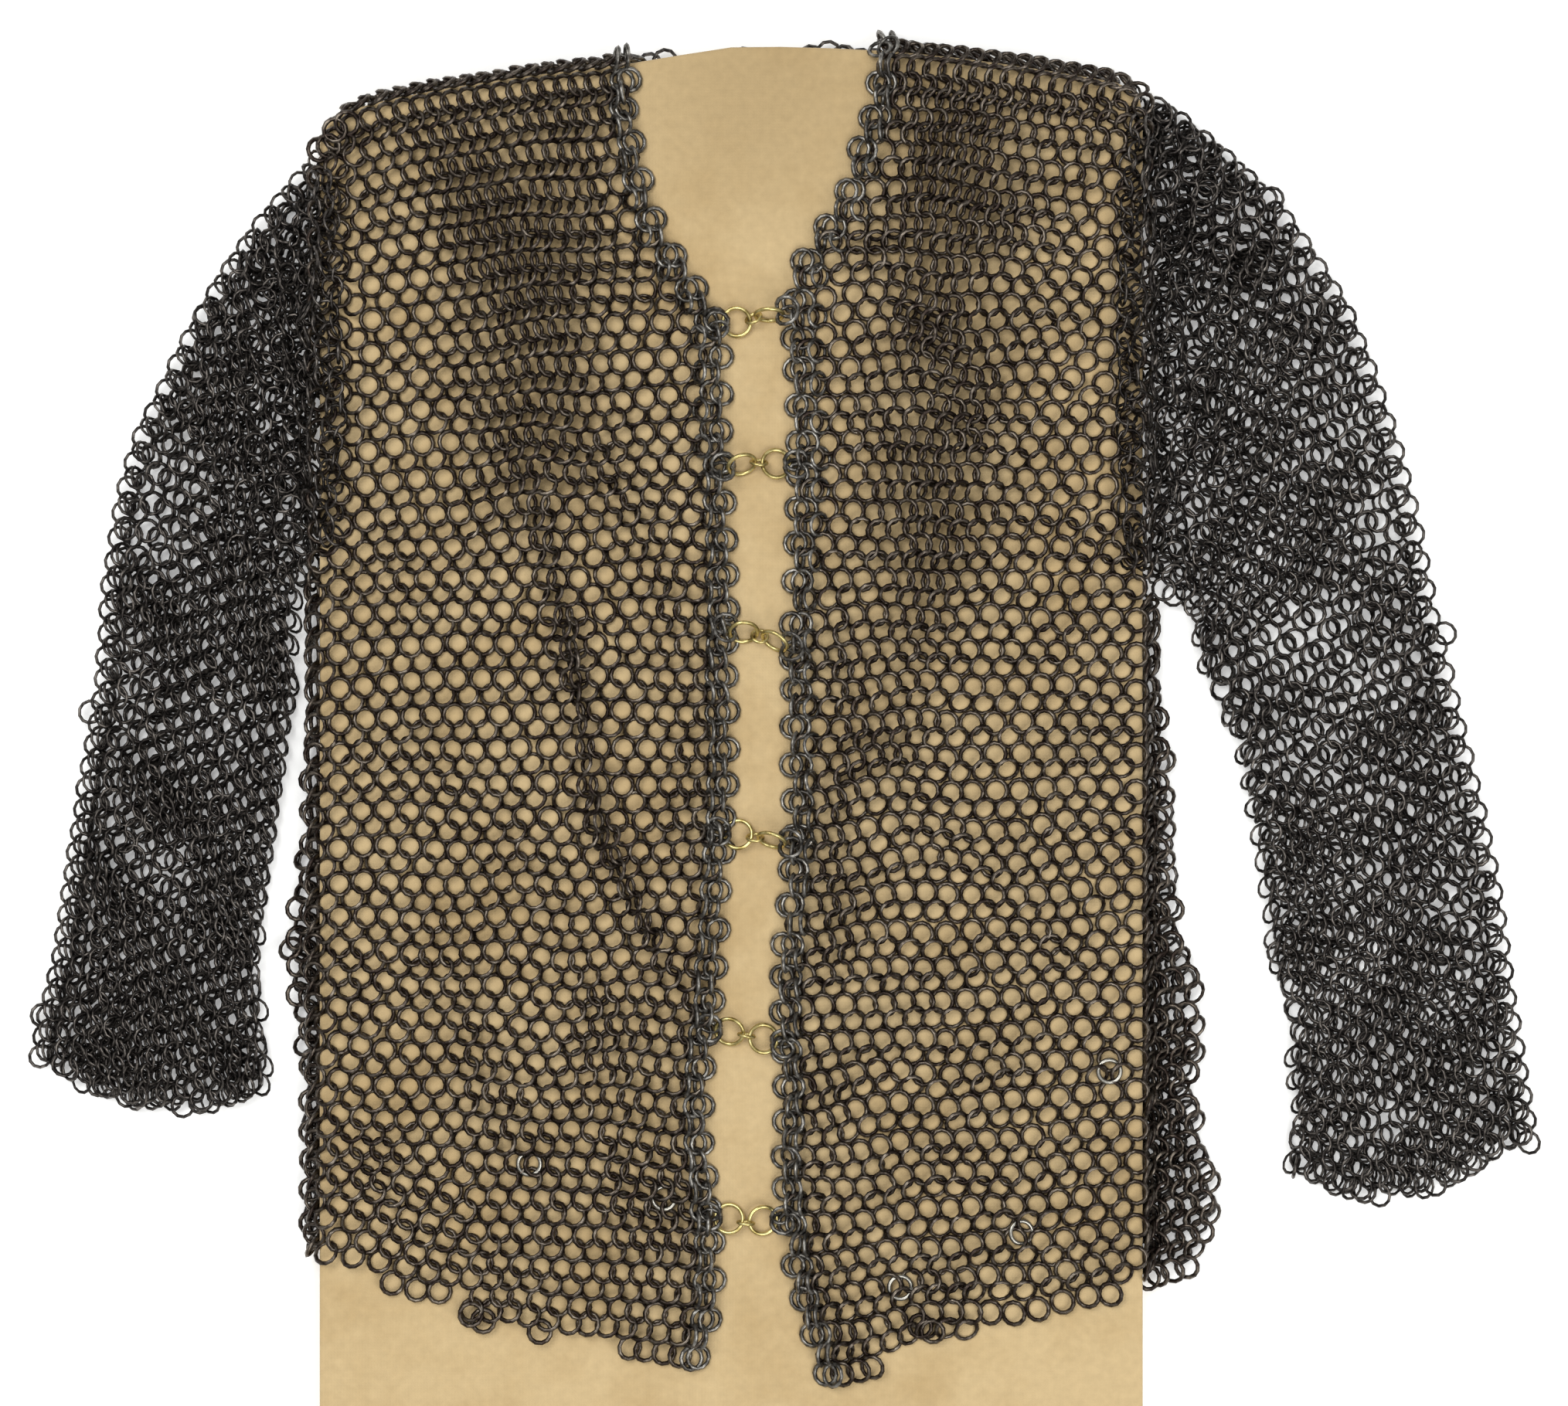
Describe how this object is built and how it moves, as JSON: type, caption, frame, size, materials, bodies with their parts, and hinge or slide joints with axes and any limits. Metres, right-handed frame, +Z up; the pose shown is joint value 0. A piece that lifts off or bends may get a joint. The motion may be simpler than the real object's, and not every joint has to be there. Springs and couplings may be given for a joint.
{
  "type": "chainmail shirt on a linen-covered display board",
  "caption": "Hip-length open-front shirt of iron mail with long sleeves and brass ring clasps, laid flat around a linen-covered display board.",
  "frame": {"origin": "middle of the footprint, on the surface that the shirt lies on", "axes": "+X to the right as seen from above (the wearer's left), +Y from the hem to the neck, +Z up from the surface"},
  "size_m": [0.881, 0.8228, 0.0379],
  "materials": {
    "iron_mail": "dark oxidised iron rings",
    "brass": "pale worn brass wire",
    "linen": "matt tan linen over a board"
  },
  "bodies": {
    "root": {"board": "linen", "back": "iron_mail", "front_right": "iron_mail", "front_left": "iron_mail", "sleeve_right": "iron_mail", "sleeve_left": "iron_mail", "clasp_1_ring_right": "brass", "clasp_1_ring_left": "brass", "clasp_1_link": "brass", "clasp_2_ring_right": "brass", "clasp_2_ring_left": "brass", "clasp_2_link": "brass", "clasp_3_ring_right": "brass", "clasp_3_ring_left": "brass", "clasp_3_link": "brass", "clasp_4_ring_right": "brass", "clasp_4_ring_left": "brass", "clasp_4_link": "brass", "clasp_5_ring_right": "brass", "clasp_5_ring_left": "brass", "clasp_5_link": "brass", "clasp_6_ring_right": "brass", "clasp_6_ring_left": "brass", "clasp_6_link": "brass"}
  },
  "joints": []
}
